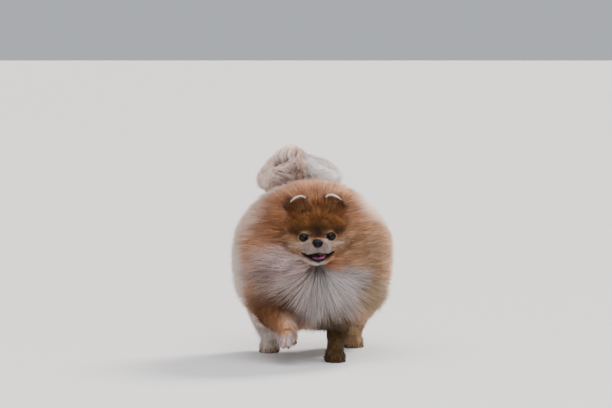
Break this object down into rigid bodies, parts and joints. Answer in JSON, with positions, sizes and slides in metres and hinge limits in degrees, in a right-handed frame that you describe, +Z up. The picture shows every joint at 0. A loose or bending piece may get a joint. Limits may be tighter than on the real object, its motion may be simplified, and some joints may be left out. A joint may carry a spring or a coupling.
{
  "type": "pomeranian",
  "caption": "Still, life-size model of a small fluffy spitz dog walking, one forepaw lifted, mouth a little open and the plumed tail carried over its back.",
  "frame": {"origin": "on the floor, under the middle of the dog's box", "axes": "+Z up, -Y the way the dog walks and looks, +X the dog's left side"},
  "size_m": [0.2252, 0.3194, 0.3],
  "materials": {
    "coat": "long, soft, dense coat, orange shading to cream",
    "face_fur": "short dense fur, brown to cream",
    "ear_fur": "short soft fur",
    "leg_fur": "soft fur of middle length",
    "paw": "short fur over the toes, dark claws",
    "nose_leather": "moist, finely pebbled",
    "tongue": "moist, soft",
    "eye": "wet, dark brown"
  },
  "bodies": {
    "root": {"head": "face_fur", "jaw": "face_fur", "tongue": "tongue", "nose": "nose_leather", "eye_left": "eye", "eye_right": "eye", "ear_left": "ear_fur", "ear_right": "ear_fur", "neck": "coat", "torso": "coat", "tail": "coat", "foreleg_left": "leg_fur", "foreleg_right": "leg_fur", "hindleg_left": "leg_fur", "hindleg_right": "leg_fur", "forepaw_left": "paw", "forepaw_right": "paw", "hindpaw_left": "paw", "hindpaw_right": "paw"}
  },
  "joints": []
}
